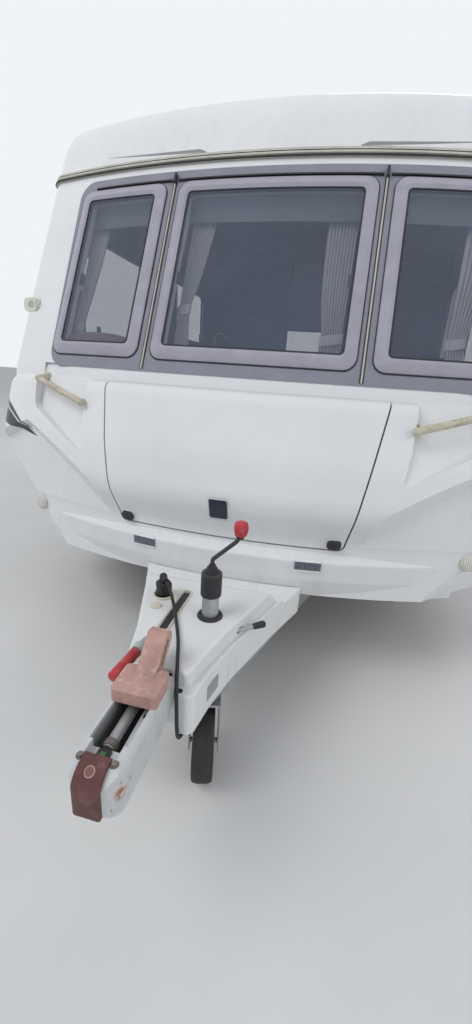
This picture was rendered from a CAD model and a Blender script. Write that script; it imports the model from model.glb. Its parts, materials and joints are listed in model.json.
import json
from math import cos, hypot, pi, radians, sin, sqrt

import bmesh
import bpy
import numpy as np
from mathutils import Matrix, Vector
from mathutils.bvhtree import BVHTree


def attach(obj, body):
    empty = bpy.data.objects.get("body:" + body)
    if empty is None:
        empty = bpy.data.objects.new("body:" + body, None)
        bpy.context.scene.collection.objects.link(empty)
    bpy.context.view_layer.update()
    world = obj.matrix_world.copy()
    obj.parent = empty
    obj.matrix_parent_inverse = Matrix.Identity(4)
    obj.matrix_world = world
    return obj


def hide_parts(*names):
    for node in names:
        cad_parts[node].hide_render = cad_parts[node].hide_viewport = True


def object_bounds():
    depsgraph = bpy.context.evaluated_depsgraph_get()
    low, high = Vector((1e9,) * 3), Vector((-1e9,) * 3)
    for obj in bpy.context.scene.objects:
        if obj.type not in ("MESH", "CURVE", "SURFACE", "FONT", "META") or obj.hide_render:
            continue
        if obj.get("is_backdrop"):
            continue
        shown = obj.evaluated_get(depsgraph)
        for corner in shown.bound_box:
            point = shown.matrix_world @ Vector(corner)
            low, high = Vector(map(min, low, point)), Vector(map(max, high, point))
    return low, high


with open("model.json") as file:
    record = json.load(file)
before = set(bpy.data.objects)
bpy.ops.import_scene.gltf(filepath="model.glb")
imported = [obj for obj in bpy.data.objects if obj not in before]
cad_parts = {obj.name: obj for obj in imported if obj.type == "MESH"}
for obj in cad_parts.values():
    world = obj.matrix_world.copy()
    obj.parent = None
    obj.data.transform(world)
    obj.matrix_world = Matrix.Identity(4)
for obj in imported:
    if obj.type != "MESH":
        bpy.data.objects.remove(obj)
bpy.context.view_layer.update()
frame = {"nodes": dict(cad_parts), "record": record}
nodes = frame["nodes"]

# Row frame in metres: hitch towards -Y, entrance door on +X, FACE is the front of the gas locker.
FACE = -2.050
FRONT_BOW = 4.150
REAR_FACE = FACE + 5.092
HALF_WIDTH = 1.107
UP, DOWN, REARWARD, FORWARD, NEARSIDE = (0, 0, 1), (0, 0, -1), (0, 1, 0), (0, -1, 0), (1, 0, 0)
# Where the rays start that look for a surface of the front or of the drawbar
AHEAD, ABOVE = FACE - 0.5, 0.8


def along(back):
    """Row Y of a distance measured back from the locker face."""
    return FACE + back


def bow(across, radius=FRONT_BOW):
    """How far a bowed face falls back at a distance from the middle."""
    return radius - sqrt(max(radius**2 - across**2, 0))


# Node graphs

class Graph:
    """Short names for the nodes of one material."""

    def __init__(self, name):
        self.material = bpy.data.materials.new(name)
        self.material.use_nodes = True
        self.tree = self.material.node_tree
        self.shader = self.tree.nodes["Principled BSDF"]
        self.place = self.add("ShaderNodeTexCoord").outputs["Object"]

    def add(self, kind, **values):
        node = self.tree.nodes.new(kind)
        for key, value in values.items():
            setattr(node, key, value)
        return node

    def put(self, value, socket):
        """Link an output, or set a plain value."""
        if isinstance(value, bpy.types.NodeSocket):
            self.tree.links.new(value, socket)
        elif isinstance(value, (tuple, list)) and len(value) == 3 and len(socket.default_value) == 4:
            socket.default_value = (*value, 1)
        else:
            socket.default_value = value

    def math(self, operation, a, b=0.0, c=0.0, clamp=False):
        node = self.add("ShaderNodeMath", operation=operation, use_clamp=clamp)
        for value, socket in zip((a, b, c), node.inputs):
            self.put(value, socket)
        return node.outputs[0]

    def axes(self, place=None):
        """The three coordinates of the row frame."""
        node = self.add("ShaderNodeSeparateXYZ")
        self.put(place or self.place, node.inputs[0])
        return node.outputs[0], node.outputs[1], node.outputs[2]

    def scaled(self, scale, place=None, turn=(0, 0, 0), move=(0, 0, 0)):
        node = self.add("ShaderNodeMapping")
        self.put(place or self.place, node.inputs["Vector"])
        node.inputs["Scale"].default_value = scale
        node.inputs["Rotation"].default_value = turn
        node.inputs["Location"].default_value = move
        return node.outputs[0]

    def noise(self, scale, detail=3.0, rough=0.55, place=None, distortion=0.0):
        node = self.add("ShaderNodeTexNoise")
        self.put(place or self.place, node.inputs["Vector"])
        node.inputs["Scale"].default_value = scale
        node.inputs["Detail"].default_value = detail
        node.inputs["Roughness"].default_value = rough
        node.inputs["Distortion"].default_value = distortion
        return node.outputs["Fac"]

    def cells(self, scale, feature="F1", output="Distance", place=None):
        node = self.add("ShaderNodeTexVoronoi", feature=feature)
        self.put(place or self.place, node.inputs["Vector"])
        node.inputs["Scale"].default_value = scale
        return node.outputs[output]

    def waves(self, scale, direction, distortion=0.0, place=None, detail=2.0, profile="SIN"):
        node = self.add("ShaderNodeTexWave", bands_direction=direction, wave_profile=profile)
        self.put(place or self.place, node.inputs["Vector"])
        node.inputs["Scale"].default_value = scale
        node.inputs["Distortion"].default_value = distortion
        node.inputs["Detail"].default_value = detail
        return node.outputs["Fac"]

    def step(self, value, low, high, to_low=0.0, to_high=1.0):
        """Smooth step of a value between two bounds."""
        node = self.add("ShaderNodeMapRange", interpolation_type="SMOOTHSTEP")
        self.put(value, node.inputs["Value"])
        for key, number in (("From Min", low), ("From Max", high), ("To Min", to_low), ("To Max", to_high)):
            node.inputs[key].default_value = number
        return node.outputs[0]

    def within(self, value, low, high, soft):
        """One between two bounds, nought outside."""
        return self.math(
            "MULTIPLY", self.step(value, low - soft, low + soft), self.step(value, high - soft, high + soft, 1, 0),
        )

    def every(self, *masks):
        """Product of masks."""
        product = masks[0]
        for mask in masks[1:]:
            product = self.math("MULTIPLY", product, mask)
        return product

    def mix(self, factor, a, b):
        node = self.add("ShaderNodeMix", data_type="RGBA")
        self.put(factor, node.inputs[0])
        self.put(a, node.inputs[6])
        self.put(b, node.inputs[7])
        return node.outputs[2]

    def grey(self, colour):
        node = self.add("ShaderNodeRGBToBW")
        self.put(colour, node.inputs[0])
        return node.outputs[0]

    def bump(self, height, strength, distance, under=None):
        node = self.add("ShaderNodeBump")
        self.put(height, node.inputs["Height"])
        node.inputs["Strength"].default_value = strength
        node.inputs["Distance"].default_value = distance
        if under is not None:
            self.put(under, node.inputs["Normal"])
        return node.outputs[0]

    def finish(self, colour=None, rough=None, normal=None, **constants):
        """Link the shader's main sockets and set its plain values."""
        for value, key in ((colour, "Base Color"), (rough, "Roughness"), (normal, "Normal")):
            if value is not None:
                self.put(value, self.shader.inputs[key])
        for key, value in constants.items():
            self.put(value, self.shader.inputs[key.replace("_", " ")])
        return self.material


def shade(colour, factor):
    return tuple(min(channel * factor, 1) for channel in colour)


def painted(name, colour, rough=0.3, coat=0.3, dirt=0.35, dirt_low=0.40, dirt_high=0.85, decal=None):
    """Gloss white moulding or paint: faint mottle, grime that gathers low down, orange peel."""
    g = Graph(name)
    x, y, z = g.axes()
    mottle = g.noise(2.2, 4)
    tone = g.mix(g.step(mottle, 0.35, 0.7), shade(colour, 0.965), shade(colour, 1.02))
    streak = g.noise(1.0, 5, 0.6, g.scaled((26, 26, 1.6)))
    low = g.step(z, dirt_low, dirt_high, 1, 0)
    grime = g.math("MULTIPLY", g.every(g.step(streak, 0.42, 0.75), g.step(g.noise(9, 4), 0.3, 0.8)), dirt)
    grime = g.math("MULTIPLY", grime, g.math("ADD", 0.18, g.math("MULTIPLY", low, 0.82)))
    tone = g.mix(grime, tone, (0.42, 0.39, 0.32))
    speck = g.step(g.noise(260, 2), 0.70, 0.78)
    tone = g.mix(g.math("MULTIPLY", speck, 0.10), tone, (0.40, 0.37, 0.31))
    roughness = g.math("ADD", rough, g.math("MULTIPLY", g.step(g.noise(14, 4), 0.35, 0.75), 0.12))
    if decal:
        tone, roughness = decal(g, tone, roughness, x, y, z)
    peel = g.bump(g.noise(420, 2), 0.05, 0.0006)
    normal = g.bump(g.noise(3.0, 2), 0.10, 0.004, peel)
    return g.finish(tone, roughness, normal, Coat_Weight=coat, Coat_Roughness=0.12)


def moulded(name, colour, rough=0.5, grain=900, depth=0.12, variety=0.15, wear=0.0, wear_colour=(0.5, 0.5, 0.5)):
    """Grained plastic with faded patches and rubbed spots."""
    g = Graph(name)
    patches = g.step(g.noise(11, 5, 0.6), 0.3, 0.75)
    tone = g.mix(patches, shade(colour, 1 - variety), shade(colour, 1 + variety))
    dust = g.step(g.noise(160, 3), 0.55, 0.8)
    tone = g.mix(g.math("MULTIPLY", dust, 0.10), tone, shade(colour, 1 + 3 * variety))
    if wear:
        rubbed = g.math("MULTIPLY", g.step(g.noise(34, 6, 0.7), 0.5, 0.68), wear)
        tone = g.mix(rubbed, tone, wear_colour)
    roughness = g.math("ADD", rough, g.math("MULTIPLY", patches, 0.12))
    normal = g.bump(g.cells(grain), depth, 0.0006, g.bump(g.noise(60, 3), 0.08, 0.001))
    return g.finish(tone, roughness, normal)


def zinc(name, colour=(0.50, 0.51, 0.52), rough=0.42, rust=0.12, rust_scale=26):
    """Galvanised or plated steel: spangle, dull patches and spots of rust."""
    g = Graph(name)
    spangle = g.add("ShaderNodeTexVoronoi")
    g.put(g.place, spangle.inputs["Vector"])
    spangle.inputs["Scale"].default_value = 95
    spangle.inputs["Randomness"].default_value = 1.0
    grey = g.math("ADD", 0.82, g.math("MULTIPLY", g.grey(spangle.outputs["Color"]), 0.30))
    tone = g.mix(grey, (0.02, 0.02, 0.02), colour)
    dull = g.step(g.noise(12, 5, 0.6), 0.35, 0.7)
    tone = g.mix(g.math("MULTIPLY", dull, 0.45), tone, shade(colour, 0.72))
    spots = g.math("MULTIPLY", g.step(g.noise(rust_scale, 7, 0.7), 0.58, 0.72), rust * 4)
    spots = g.math("MINIMUM", spots, 1.0)
    tone = g.mix(spots, tone, (0.20, 0.085, 0.035))
    roughness = g.math("ADD", rough, g.math("MULTIPLY", g.math("ADD", dull, spots), 0.22))
    metal = g.math("SUBTRACT", 0.85, g.math("MULTIPLY", spots, 0.8))
    normal = g.bump(g.noise(180, 4), 0.18, 0.0008, g.bump(spangle.outputs["Distance"], 0.05, 0.0008))
    return g.finish(tone, roughness, normal, Metallic=metal)


def woven(name, colour, second, threads=1500, rough=0.85, sheen=0.3, stripe=None):
    """Cloth with crossing threads, slub and faint fading."""
    g = Graph(name)
    warp = g.waves(threads / 20, "X", 0.6)
    weft = g.waves(threads / 20, "Z", 0.6)
    weave = g.math("MULTIPLY", warp, weft)
    slub = g.step(g.noise(7, 4), 0.3, 0.75)
    tone = g.mix(weave, shade(colour, 0.86), colour)
    tone = g.mix(g.math("MULTIPLY", slub, 0.35), tone, second)
    if stripe:
        tone = stripe(g, tone)
    normal = g.bump(weave, 0.35, 0.0008, g.bump(g.noise(90, 3), 0.12, 0.002))
    return g.finish(tone, rough, normal, Sheen_Weight=sheen, Sheen_Roughness=0.5)


def board(name, light, dark, rough=0.42, direction=(1, 1, 9)):
    """Foiled furniture board with a straight grain."""
    g = Graph(name)
    grain = g.noise(9, 8, 0.65, g.scaled(direction), 0.8)
    fine = g.noise(70, 4, 0.6, g.scaled(direction))
    tone = g.mix(g.step(grain, 0.32, 0.72), dark, light)
    tone = g.mix(g.math("MULTIPLY", g.step(fine, 0.5, 0.7), 0.35), tone, dark)
    normal = g.bump(fine, 0.12, 0.0006)
    return g.finish(tone, g.math("ADD", rough, g.math("MULTIPLY", grain, 0.15)), normal, Coat_Weight=0.15)


def pane_material(name, colour, alpha, ior=1.7, rough=0.03):
    """Tinted acrylic: smears on the surface, haze towards the edges."""
    g = Graph(name)
    smear = g.step(g.noise(5, 5, 0.6, g.scaled((1, 1, 0.5))), 0.35, 0.75)
    tone = g.mix(smear, shade(colour, 0.85), shade(colour, 1.12))
    roughness = g.math("ADD", rough, g.math("MULTIPLY", g.step(g.noise(40, 4), 0.45, 0.8), 0.05))
    normal = g.bump(g.noise(6, 2), 0.03, 0.004)
    return g.finish(
        tone, roughness, normal, Alpha=alpha, IOR=ior, Specular_IOR_Level=0.7, Coat_Weight=0.5, Coat_Roughness=0.03,
    )


def lens_material(name, colour, alpha, ribs=260, direction="X", rough=0.15, decal=None):
    """Moulded lamp lens with fine ribs behind a smooth face."""
    g = Graph(name)
    rib = g.waves(ribs / 20 * pi, direction, 0)
    tone = g.mix(g.step(rib, 0.25, 0.75), shade(colour, 0.72), shade(colour, 1.08))
    tone = g.mix(g.math("MULTIPLY", g.step(g.noise(60, 4), 0.5, 0.75), 0.25), tone, shade(colour, 0.6))
    if decal:
        tone = decal(g, tone)
    normal = g.bump(rib, 0.5, 0.0015)
    return g.finish(tone, rough, normal, Alpha=alpha, Coat_Weight=0.8, Coat_Roughness=0.05, Specular_IOR_Level=0.7)


def tyre_material(name):
    """Rubber with road dust, lighter in the tread."""
    g = Graph(name)
    dust = g.step(g.noise(30, 6, 0.7), 0.35, 0.8)
    tone = g.mix(g.math("MULTIPLY", dust, 0.6), (0.018, 0.018, 0.018), (0.075, 0.07, 0.062))
    normal = g.bump(g.noise(240, 4), 0.3, 0.0012)
    return g.finish(tone, g.math("ADD", 0.62, g.math("MULTIPLY", dust, 0.25)), normal)


# Finishes of the record's slots

WHITE = (0.715, 0.72, 0.73)
SHEET_WHITE = (0.71, 0.715, 0.72)


def corner_swoosh(g, tone, roughness, x, y, z):
    """Black tapered stripe with a pinstripe in it, low on both front corners."""
    across = g.math("ABSOLUTE", x)
    spread = g.math("DIVIDE", g.math("SUBTRACT", across, 0.872), 0.235, clamp=True)
    middle = g.math("ADD", 0.860, g.math("MULTIPLY", spread, 0.105))
    half = g.math("MULTIPLY", g.math("POWER", spread, 0.85), 0.056)
    offset = g.math("SUBTRACT", z, middle)
    inside = g.step(g.math("SUBTRACT", half, g.math("ABSOLUTE", offset)), -0.0008, 0.0008)
    line_place = g.math("ABSOLUTE", g.math("SUBTRACT", offset, g.math("MULTIPLY", half, 0.40)))
    pinstripe = g.step(g.math("SUBTRACT", line_place, 0.0030), -0.0008, 0.0008)
    ahead = g.step(y, -1.45, -1.44, 1, 0)
    black = g.every(inside, pinstripe, ahead)
    tone = g.mix(black, tone, (0.012, 0.012, 0.014))
    return tone, roughness


def side_swoosh(g, tone, roughness, x, y, z):
    """The same stripe carried on along the sides, down to a point."""
    back = g.math("SUBTRACT", y, FACE)
    share = g.math("DIVIDE", g.math("SUBTRACT", back, 0.25), 2.05, clamp=True)
    middle = g.math("SUBTRACT", 0.965, g.math("MULTIPLY", share, 0.150))
    half = g.math("MULTIPLY", g.math("POWER", g.math("SUBTRACT", 1, share), 1.4), 0.056)
    offset = g.math("SUBTRACT", z, middle)
    inside = g.step(g.math("SUBTRACT", half, g.math("ABSOLUTE", offset)), -0.0008, 0.0008)
    line_place = g.math("ABSOLUTE", g.math("SUBTRACT", offset, g.math("MULTIPLY", half, 0.40)))
    pinstripe = g.step(g.math("SUBTRACT", line_place, 0.0030), -0.0008, 0.0008)
    tone = g.mix(g.every(inside, pinstripe), tone, (0.012, 0.012, 0.014))
    lining = g.step(g.math("ABSOLUTE", x), 1.084, 1.088, 1, 0)
    return g.mix(lining, tone, (0.30, 0.235, 0.18)), roughness


def cap_stripes(g, tone, roughness, x, y, z):
    """Two tapered grey stripes on the cap, one on each side of a bare middle."""
    across = g.math("ABSOLUTE", x)
    front = g.step(y, -0.95, -0.90, 1, 0)
    slant = g.math("SUBTRACT", across, g.math("MULTIPLY", g.math("SUBTRACT", z, 2.000), 2.2))
    for base, rise, half, start, end in ((2.005, 0.10, 0.0075, 0.303, 0.80), (1.9945, 0.0, 0.0030, 0.312, 0.46)):
        reach = g.math("SUBTRACT", across, start)
        centre = g.math("ADD", base, g.math("MULTIPLY", g.math("MULTIPLY", reach, reach), rise))
        share = g.math("DIVIDE", reach, end - start, clamp=True)
        edge = g.math("MULTIPLY", g.math("SUBTRACT", 1, g.math("POWER", share, 1.6)), half)
        gap = g.math("SUBTRACT", edge, g.math("ABSOLUTE", g.math("SUBTRACT", z, centre)))
        inside = g.every(g.step(gap, -0.0006, 0.0006), g.step(slant, start - 0.001, start + 0.001), front)
        tone = g.mix(inside, tone, (0.22, 0.22, 0.23))
    return tone, roughness


def cast_rust(g, tone, roughness, x, y, z):
    """Rust that has come through the paint round the coupling's nose."""
    offsets = [g.math("SUBTRACT", value, place) for value, place in zip((x, y, z), (0.054, FACE - 0.955, 0.452))]
    squares = [g.math("MULTIPLY", offset, offset) for offset in offsets]
    reach = g.math("SQRT", g.math("ADD", g.math("ADD", squares[0], squares[1]), squares[2]))
    flakes = g.step(g.noise(70, 6, 0.7), 0.40, 0.50)
    rust = g.every(g.step(reach, 0.008, 0.020, 1, 0), flakes)
    specks = g.math("MULTIPLY", g.step(g.noise(60, 6, 0.7), 0.63, 0.68), 0.6)
    rust = g.math("MAXIMUM", rust, specks)
    tone = g.mix(rust, tone, (0.36, 0.13, 0.03))
    stains = g.math("MULTIPLY", g.step(g.noise(22, 6, 0.7), 0.52, 0.66), 0.35)
    tone = g.mix(stains, tone, (0.33, 0.31, 0.28))
    across = g.step(g.math("ABSOLUTE", x), 0.0395, 0.0405, 1, 0)
    trough = g.every(across, g.step(z, 0.486, 0.494, 1, 0), g.within(y, FACE - 0.9055, FACE - 0.60, 0.0005))
    tone = g.mix(trough, tone, (0.045, 0.044, 0.042))
    return tone, g.math("ADD", roughness, g.math("MULTIPLY", rust, 0.3))


def front_lenses(g, tone):
    """Dark reflectors by the lid, and darker bulbs behind the clear marker lamps."""
    x, y, z = g.axes()
    across = g.math("ABSOLUTE", x)
    reflector = g.every(g.step(across, 0.44, 0.46, 1, 0), g.within(z, 0.514, 0.546, 0.0006))
    tone = g.mix(g.step(z, 0.60, 0.62, 1, 0), tone, shade(WHITE, 0.97))
    facet = g.cells(130)
    dark = g.mix(g.step(facet, 0.2, 0.7), (0.030, 0.038, 0.055), (0.075, 0.09, 0.12))
    tone = g.mix(reflector, tone, dark)
    wide = g.math("DIVIDE", g.math("SUBTRACT", across, 1.046), 0.030)
    tall = g.math("DIVIDE", g.math("SUBTRACT", z, 1.400), 0.017)
    reach = g.math("SQRT", g.math("ADD", g.math("MULTIPLY", wide, wide), g.math("MULTIPLY", tall, tall)))
    return g.mix(g.math("MULTIPLY", g.step(reach, 0.75, 1.05, 1, 0), 0.75), tone, (0.22, 0.21, 0.19))


def rear_lenses(g, tone):
    """Bands of the rear cluster: amber on top, clear below it, a reflector at the foot."""
    x, y, z = g.axes()
    tone = g.mix(g.step(z, 1.028, 1.030), tone, (0.72, 0.24, 0.02))
    tone = g.mix(g.within(z, 0.950, 1.026, 0.0008), tone, (0.62, 0.62, 0.60))
    joints = g.every(*[
        g.step(g.math("ABSOLUTE", g.math("SUBTRACT", z, place)), 0.0015, 0.0025) for place in (0.790, 0.948, 1.028)
    ])
    return g.mix(joints, (0.03, 0.03, 0.03), tone)


gloss_white = painted("gloss_white", WHITE)
finishes = {
    "gloss_white": gloss_white,
    "front_white": painted("front_white", WHITE, decal=corner_swoosh),
    "cap_white": painted("cap_white", WHITE, dirt=0.30, dirt_low=1.9, dirt_high=2.3, decal=cap_stripes),
    "white_aluminium": painted("white_aluminium", SHEET_WHITE, rough=0.34, coat=0.15),
    "fairing_white": painted(
        "fairing_white", (0.74, 0.745, 0.74), rough=0.33, dirt=0.55, dirt_low=0.33, dirt_high=0.52,
    ),
    "mauve_grey": moulded("mauve_grey", (0.225, 0.225, 0.270), 0.36, 1400, 0.06, 0.08),
    "frame_grey": moulded("frame_grey", (0.335, 0.325, 0.385), 0.30, 1400, 0.05, 0.08),
    "tinted_pane": pane_material("tinted_pane", (0.070, 0.105, 0.180), 0.30),
    "grey_trim": moulded("grey_trim", (0.47, 0.46, 0.41), 0.45, 700, 0.08, 0.10, 0.25, (0.22, 0.21, 0.17)),
    "cream_handle": moulded("cream_handle", (0.52, 0.49, 0.39), 0.55, 500, 0.25, 0.14, 0.8, (0.24, 0.22, 0.14)),
    "black_plastic": moulded("black_plastic", (0.022, 0.022, 0.024), 0.45, 900, 0.10, 0.25),
    "galvanised": zinc("galvanised"),
    "black_steel": moulded("black_steel", (0.030, 0.030, 0.033), 0.40, 400, 0.10, 0.20, 0.35, (0.11, 0.07, 0.05)),
    "cast_white": painted(
        "cast_white", (0.58, 0.60, 0.62), rough=0.35, coat=0.25, dirt=0.9, dirt_low=0.40, dirt_high=0.56,
    ),
    "tyre_rubber": tyre_material("tyre_rubber"),
    "maroon_rubber": moulded("maroon_rubber", (0.115, 0.048, 0.046), 0.62, 500, 0.25, 0.20, 0.6, (0.21, 0.115, 0.09)),
    "pink_plastic": moulded("pink_plastic", (0.45, 0.27, 0.235), 0.58, 500, 0.20, 0.18, 0.9, (0.60, 0.47, 0.33)),
    "red_plastic": moulded("red_plastic", (0.43, 0.035, 0.045), 0.42, 600, 0.20, 0.25, 0.5, (0.50, 0.16, 0.15)),
    "silver_wheel": moulded("silver_wheel", (0.42, 0.43, 0.44), 0.38, 500, 0.06, 0.08, 0.4, (0.20, 0.15, 0.11)),
    "lamp_lens": lens_material("lamp_lens", (0.72, 0.71, 0.64), 0.85),
    "red_lens": lens_material("red_lens", (0.42, 0.015, 0.015), 1.0, 200),
    "amber_lens": lens_material("amber_lens", (0.70, 0.24, 0.02), 1.0, 260, "Y"),
    "wood": board("wood", (0.30, 0.175, 0.095), (0.165, 0.085, 0.042)),
    "upholstery": woven("upholstery", (0.27, 0.165, 0.145), (0.36, 0.25, 0.20)),
    "curtain_cloth": woven("curtain_cloth", (0.86, 0.84, 0.85), (0.76, 0.72, 0.73), 2400, 0.8, 0.25),
    "plywood_floor": board("plywood_floor", (0.22, 0.17, 0.12), (0.12, 0.09, 0.06)),
    "cable_rubber": moulded("cable_rubber", (0.016, 0.016, 0.017), 0.5, 800, 0.10, 0.25),
    "side_sheet": painted("side_sheet", SHEET_WHITE, rough=0.34, coat=0.15, decal=side_swoosh),
    "coupling_paint": painted(
        "coupling_paint", (0.56, 0.57, 0.58), rough=0.38, coat=0.2, dirt=0.9, dirt_low=0.40, dirt_high=0.56,
        decal=cast_rust,
    ),
    "front_lens": lens_material("front_lens", (0.66, 0.655, 0.60), 1.0, decal=front_lenses),
    "rear_lens": lens_material("rear_lens", (0.42, 0.015, 0.015), 1.0, 200, decal=rear_lenses),
    "tie_cloth": woven("tie_cloth", (0.80, 0.76, 0.76), (0.70, 0.65, 0.65), 2400, 0.75, 0.3),
    "blind_cloth": woven("blind_cloth", (0.46, 0.47, 0.49), (0.40, 0.41, 0.44), 3000, 0.8, 0.2),
    "piping_cloth": woven("piping_cloth", (0.40, 0.29, 0.24), (0.33, 0.23, 0.19), 3000, 0.8, 0.3),
    "bolster_cloth": woven("bolster_cloth", (0.33, 0.20, 0.17), (0.43, 0.30, 0.25), 1800, 0.85, 0.3),
    "navy_plate": moulded("navy_plate", (0.020, 0.024, 0.045), 0.22, 900, 0.05, 0.15),
    "pale_rim": moulded("pale_rim", (0.55, 0.56, 0.58), 0.28, 900, 0.05, 0.08),
    "label_grey": moulded("label_grey", (0.30, 0.305, 0.315), 0.45, 1200, 0.06, 0.08),
    "mint_plastic": moulded("mint_plastic", (0.42, 0.50, 0.46), 0.5, 700, 0.12, 0.10, 0.4, (0.30, 0.33, 0.29)),
    "cream_plastic": moulded("cream_plastic", (0.60, 0.57, 0.47), 0.45, 700, 0.10, 0.08, 0.3, (0.42, 0.38, 0.28)),
    "faded_red": moulded("faded_red", (0.22, 0.10, 0.085), 0.6, 500, 0.2, 0.15, 0.7, (0.33, 0.22, 0.17)),
    "rusty_steel": zinc("rusty_steel", (0.30, 0.27, 0.25), 0.6, 0.9, 60),
    "green_window": moulded("green_window", (0.035, 0.16, 0.055), 0.30, 900, 0.05, 0.15),
    "steel_trim": zinc("steel_trim", (0.55, 0.56, 0.57), 0.34, 0.02, 26),
}
node_finish = {
    "front_panel": "front_white", "front_roof_cap": "cap_white", "fairing": "fairing_white",
    "front_window_frames": "frame_grey", "front_lamps": "front_lens", "rear_lamps": "rear_lens",
    "nearside_wall": "side_sheet", "offside_wall": "side_sheet", "coupling_head": "coupling_paint",
}
record_slot = {part["node"]: part["material_slot"] for part in frame["record"]["subparts"]}
for name, node in nodes.items():
    finish = finishes[node_finish.get(name, record_slot[name])]
    if not node.material_slots:
        node.data.materials.append(finish)
    for place in node.material_slots:
        place.material = finish


def dress(piece, body, slot, finish=None):
    """Give a new piece its finish, its body and its slot."""
    piece.data.materials.clear()
    piece.data.materials.append(finishes[finish or slot])
    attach(piece, body)
    return piece


# Mesh helpers

def mesh_piece(name, vertices, faces, smooth=True):
    mesh = bpy.data.meshes.new(name)
    mesh.from_pydata([tuple(v) for v in vertices], [], faces)
    mesh.update()
    piece = bpy.data.objects.new(name, mesh)
    bpy.context.scene.collection.objects.link(piece)
    if smooth:
        mesh.shade_smooth()
    return piece


def from_bmesh(name, form, smooth=True):
    mesh = bpy.data.meshes.new(name)
    bmesh.ops.recalc_face_normals(form, faces=form.faces)
    form.to_mesh(mesh)
    form.free()
    piece = bpy.data.objects.new(name, mesh)
    bpy.context.scene.collection.objects.link(piece)
    if smooth:
        mesh.shade_smooth()
    return piece


def sharpen(piece, angle=35):
    """Keep the shading crisp over edges steeper than an angle."""
    form = bmesh.new()
    form.from_mesh(piece.data)
    for edge in form.edges:
        if len(edge.link_faces) == 2 and edge.calc_face_angle(0) > radians(angle):
            edge.smooth = False
    form.to_mesh(piece.data)
    form.free()
    return piece


def lathe(name, profile, origin, axis, segments=48, smooth_angle=35):
    """Turn a profile of distance along and radius about an axis."""
    axis = Vector(axis).normalized()
    side = axis.orthogonal().normalized()
    other = axis.cross(side)
    form = bmesh.new()
    rings = []
    for reach, radius in profile:
        ring = []
        if radius < 1e-6:
            ring.append(form.verts.new(Vector(origin) + axis * reach))
        else:
            for k in range(segments):
                turn = 2 * pi * k / segments
                ring.append(
                    form.verts.new(Vector(origin) + axis * reach + (side * cos(turn) + other * sin(turn)) * radius)
                )
        rings.append(ring)
    for first, second in zip(rings, rings[1:]):
        for k in range(segments):
            n = (k + 1) % segments
            if len(first) == 1 and len(second) == 1:
                continue
            if len(first) == 1:
                form.faces.new((first[0], second[k], second[n]))
            elif len(second) == 1:
                form.faces.new((first[k], first[n], second[0]))
            else:
                form.faces.new((first[k], first[n], second[n], second[k]))
    return sharpen(from_bmesh(name, form), smooth_angle)


def rounded_outline(width, height, radius, steps=6):
    """Corner points of a rounded rectangle about its middle."""
    points = []
    for cx, cy, start in (
        (width / 2 - radius, height / 2 - radius, 0), (radius - width / 2, height / 2 - radius, 90),
        (radius - width / 2, radius - height / 2, 180), (width / 2 - radius, radius - height / 2, 270),
    ):
        for k in range(steps + 1):
            turn = radians(start + 90 * k / steps)
            points.append((cx + radius * cos(turn), cy + radius * sin(turn)))
    return points


def plate(name, outline, origin, right, up, thickness, bevel=0.0):
    """Flat plate from an outline in its own plane, with its front edge bevelled."""
    right, up = Vector(right).normalized(), Vector(up).normalized()
    out = right.cross(up)
    middle = Vector((sum(p[0] for p in outline) / len(outline), sum(p[1] for p in outline) / len(outline), 0))
    layers = [(0.0, 1.0, 0.0)]
    if bevel:
        for k in range(1, 4):
            turn = radians(90 * k / 3)
            layers.append((thickness - bevel + bevel * sin(turn), 1.0, bevel * (1 - cos(turn))))
    else:
        layers.append((thickness, 1.0, 0.0))
    form = bmesh.new()
    rings = []
    for height, _, inset in layers:
        ring = []
        for px, py in outline:
            away = Vector((px, py, 0)) - middle
            near = away.length
            point = middle + away * max(near - inset, 0) / near if near else middle
            ring.append(form.verts.new(Vector(origin) + right * point.x + up * point.y + out * height))
        rings.append(ring)
    if bevel:
        rings.insert(1, [form.verts.new(v.co + out * (thickness - bevel)) for v in rings[0]])
    count = len(outline)
    for first, second in zip(rings, rings[1:]):
        for k in range(count):
            n = (k + 1) % count
            form.faces.new((first[k], first[n], second[n], second[k]))
    form.faces.new(rings[-1])
    form.faces.new(list(reversed(rings[0])))
    return sharpen(from_bmesh(name, form), 40)


def tube(name, points, radius, order=3, resolution=12, bevel_resolution=6, cyclic=False):
    """Round rod on a NURBS line through its control points."""
    curve = bpy.data.curves.new(name, "CURVE")
    curve.dimensions = "3D"
    spline = curve.splines.new("NURBS")
    spline.points.add(len(points) - 1)
    for place, point in zip(spline.points, points):
        place.co = (*point, 1)
    spline.order_u = order
    spline.use_endpoint_u = not cyclic
    spline.use_cyclic_u = cyclic
    spline.resolution_u = resolution
    curve.bevel_depth = radius
    curve.bevel_resolution = bevel_resolution
    curve.use_fill_caps = True
    piece = bpy.data.objects.new(name, curve)
    bpy.context.scene.collection.objects.link(piece)
    return piece


# Camera of the photograph, floor, backdrop and light

CAMERA_PLACE = Vector((0.3246, -3.4710, 1.1717))
CAMERA_YAW, CAMERA_PITCH, CAMERA_ROLL = radians(11.975), radians(19.095), radians(3.814)
FOCAL_PIXELS, LONG_SIDE, SENSOR = 404.085, 1024, 36.0


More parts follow.
